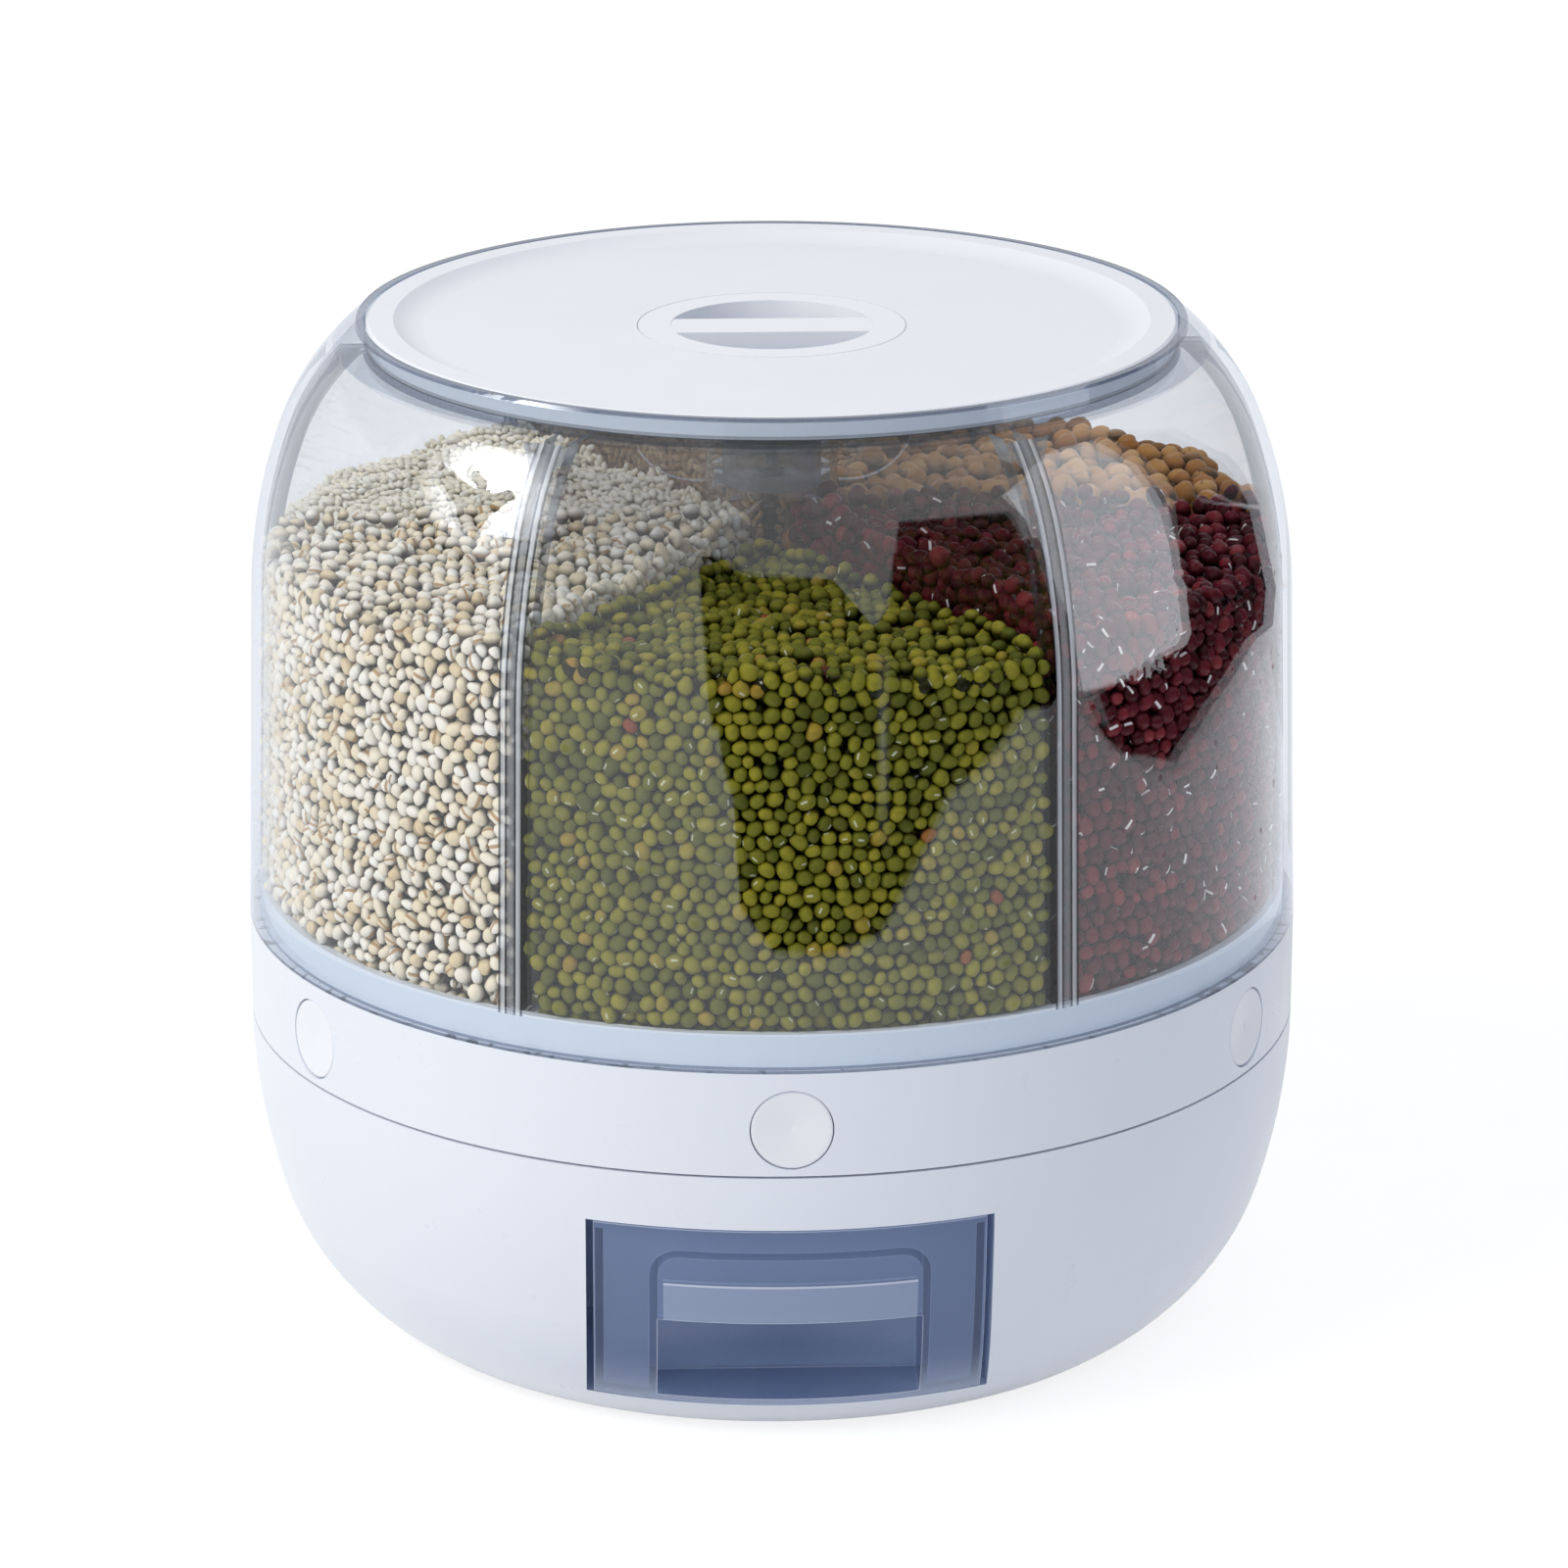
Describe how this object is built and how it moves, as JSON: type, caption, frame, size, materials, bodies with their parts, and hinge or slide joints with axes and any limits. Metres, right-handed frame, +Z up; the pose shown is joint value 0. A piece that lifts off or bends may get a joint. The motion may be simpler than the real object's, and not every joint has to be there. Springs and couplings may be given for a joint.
{
  "type": "rotating grain dispenser",
  "caption": "Countertop grain dispenser: a clear domed drum with divided compartments turns on a white base; push buttons open sliding gates over a pull-out tray.",
  "frame": {"origin": "centre of the footprint, on the ground plane under the rubber feet", "axes": "+Z up along the drum's axis, -Y towards the tray and the front button, +X to the right seen from the front"},
  "size_m": [0.3004, 0.3004, 0.2884],
  "materials": {
    "white_plastic": "glossy white moulded plastic",
    "button_plastic": "satin white plastic",
    "clear_plastic": "clear polished plastic",
    "blue_plastic": "translucent slate-blue plastic",
    "grey_plastic": "matt plastic with low friction",
    "steel": "plain zinc-plated steel",
    "rubber": "soft light-grey rubber"
  },
  "bodies": {
    "base": {"base_shell": "white_plastic", "bottom_plate": "white_plastic", "rubber_feet": "rubber", "base_screws": "steel", "base_deck": "white_plastic", "chute": "white_plastic", "hub_bush": "grey_plastic", "tray_bay": "white_plastic"},
    "tray": {"tray": "blue_plastic"},
    "roller_cage": {"roller_cage": "grey_plastic", "bearing_rollers": "grey_plastic"},
    "carousel": {"band_ring": "white_plastic", "carousel_floor": "white_plastic", "gate_cover": "white_plastic", "cover_screws": "steel", "clear_shell": "clear_plastic", "centre_column": "clear_plastic", "divider_vane_1": "clear_plastic", "divider_vane_2": "clear_plastic", "divider_vane_3": "clear_plastic", "divider_vane_4": "clear_plastic", "divider_vane_5": "clear_plastic", "divider_vane_6": "clear_plastic", "spindle": "steel", "spindle_washer": "steel", "spindle_nut": "steel", "gate_spring_1": "steel", "gate_spring_2": "steel", "gate_spring_3": "steel", "gate_spring_4": "steel", "gate_spring_5": "steel", "gate_spring_6": "steel"},
    "lid": {"lid_panel": "white_plastic", "lid_seal": "rubber"},
    "knob": {"lid_knob": "white_plastic", "knob_stem": "white_plastic", "knob_screw": "steel", "stem_clip": "steel"},
    "button_1": {"button_1": "button_plastic", "gate_1": "grey_plastic"},
    "button_2": {"button_2": "button_plastic", "gate_2": "grey_plastic"},
    "button_3": {"button_3": "button_plastic", "gate_3": "grey_plastic"},
    "button_4": {"button_4": "button_plastic", "gate_4": "grey_plastic"},
    "button_5": {"button_5": "button_plastic", "gate_5": "grey_plastic"},
    "button_6": {"button_6": "button_plastic", "gate_6": "grey_plastic"}
  },
  "joints": [
    {"name": "carousel_turn", "type": "hinge", "parent": "base", "child": "carousel", "pos_m": [0, 0, 0.09], "axis": [0, 0, 1], "continuous": true},
    {"name": "cage_turn", "type": "hinge", "parent": "base", "child": "roller_cage", "pos_m": [0, 0, 0.09425], "axis": [0, 0, 1], "continuous": true},
    {"name": "tray_slide", "type": "slide", "parent": "base", "child": "tray", "axis": [0, -1, 0], "range_m": [0, 0.09]},
    {"name": "lid_lift", "type": "slide", "parent": "carousel", "child": "lid", "axis": [0, 0, 1], "range_m": [0, 0.06]},
    {"name": "knob_turn", "type": "hinge", "parent": "lid", "child": "knob", "pos_m": [0, 0, 0.27], "axis": [0, 0, 1], "range_deg": [0, 90]},
    {"name": "button_1_press", "type": "slide", "parent": "carousel", "child": "button_1", "axis": [0, 1, 0], "range_m": [0, 0.012], "stiffness_N_per_m": 250, "springref_m": -0.008, "deforming": ["gate_spring_1"]},
    {"name": "button_2_press", "type": "slide", "parent": "carousel", "child": "button_2", "axis": [-0.866, 0.5, 0], "range_m": [0, 0.012], "stiffness_N_per_m": 250, "springref_m": -0.008, "deforming": ["gate_spring_2"]},
    {"name": "button_3_press", "type": "slide", "parent": "carousel", "child": "button_3", "axis": [-0.866, -0.5, 0], "range_m": [0, 0.012], "stiffness_N_per_m": 250, "springref_m": -0.008, "deforming": ["gate_spring_3"]},
    {"name": "button_4_press", "type": "slide", "parent": "carousel", "child": "button_4", "axis": [0, -1, 0], "range_m": [0, 0.012], "stiffness_N_per_m": 250, "springref_m": -0.008, "deforming": ["gate_spring_4"]},
    {"name": "button_5_press", "type": "slide", "parent": "carousel", "child": "button_5", "axis": [0.866, -0.5, 0], "range_m": [0, 0.012], "stiffness_N_per_m": 250, "springref_m": -0.008, "deforming": ["gate_spring_5"]},
    {"name": "button_6_press", "type": "slide", "parent": "carousel", "child": "button_6", "axis": [0.866, 0.5, 0], "range_m": [0, 0.012], "stiffness_N_per_m": 250, "springref_m": -0.008, "deforming": ["gate_spring_6"]}
  ],
  "couplings": [
    {"joint": "cage_turn", "follows": "carousel_turn", "ratio": 0.5}
  ]
}
